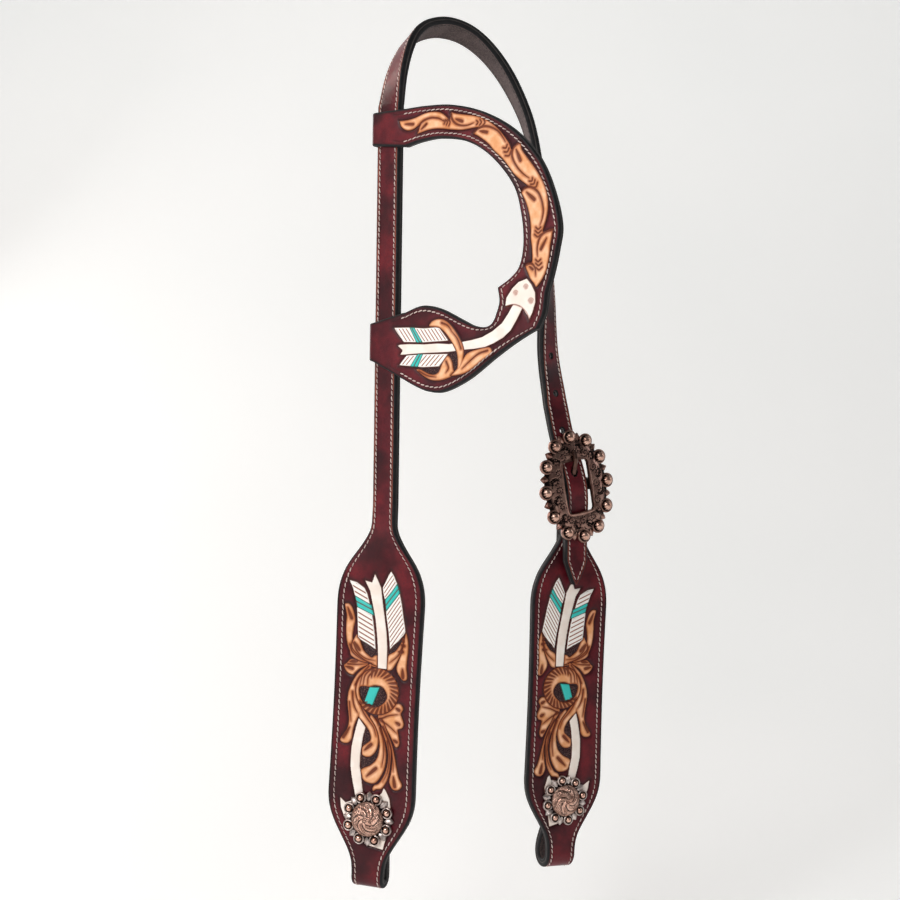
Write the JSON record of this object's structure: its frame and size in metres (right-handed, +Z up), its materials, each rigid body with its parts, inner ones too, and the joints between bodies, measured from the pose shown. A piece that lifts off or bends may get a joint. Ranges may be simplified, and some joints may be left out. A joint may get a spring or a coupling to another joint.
{
  "type": "western one-ear headstall",
  "caption": "Western one-ear bridle headstall: doubled leather strap, tooled cheeks, sliding ear piece, berry cart buckle, screw-on conchos and folded bit loops.",
  "frame": {"origin": "middle of the crown's underside, where the strap rests on the horse's poll or on a hook", "axes": "+Z up with the headstall hanging, +X from the left cheek towards the right cheek, +Y from the front of the head towards the neck"},
  "size_m": [0.173, 0.1941, 0.5225],
  "materials": {
    "burgundy_leather": "oiled, dyed burgundy brown with black burnished edges",
    "lining_leather": "rough grey-brown flesh side",
    "antique_copper": "copper plate over zinc alloy, darkened in the recesses",
    "plated_steel": "copper-plated steel"
  },
  "bodies": {
    "strap": {"long_strap_face": "burgundy_leather", "long_strap_lining": "lining_leather", "left_concho": "antique_copper", "left_concho_screw": "plated_steel", "buckle_frame": "antique_copper", "buckle_bar": "plated_steel"},
    "ear_piece": {"ear_piece_face": "burgundy_leather", "ear_piece_lining": "lining_leather"},
    "tongue": {"buckle_tongue": "antique_copper"},
    "right_cheek": {"right_cheek_face": "burgundy_leather", "right_cheek_lining": "lining_leather", "right_concho": "antique_copper", "right_concho_screw": "plated_steel", "fold_screw_post": "plated_steel", "fold_screw": "plated_steel"}
  },
  "joints": [
    {"name": "ear_piece_slide", "type": "slide", "parent": "strap", "child": "ear_piece", "axis": [0.0139, -0.0105, 0.9998], "range_m": [-0.064, 0.002]},
    {"name": "right_cheek_swing", "type": "hinge", "parent": "strap", "child": "right_cheek", "pos_m": [0.079, 0.0523, -0.2743], "axis": [0.8695, 0.4623, 0.1736], "range_deg": [0, 25]},
    {"name": "buckle_tongue_pivot", "type": "hinge", "parent": "strap", "child": "tongue", "pos_m": [0.079, 0.0523, -0.2743], "axis": [0.8695, 0.4623, 0.1736], "range_deg": [0, 4]}
  ]
}
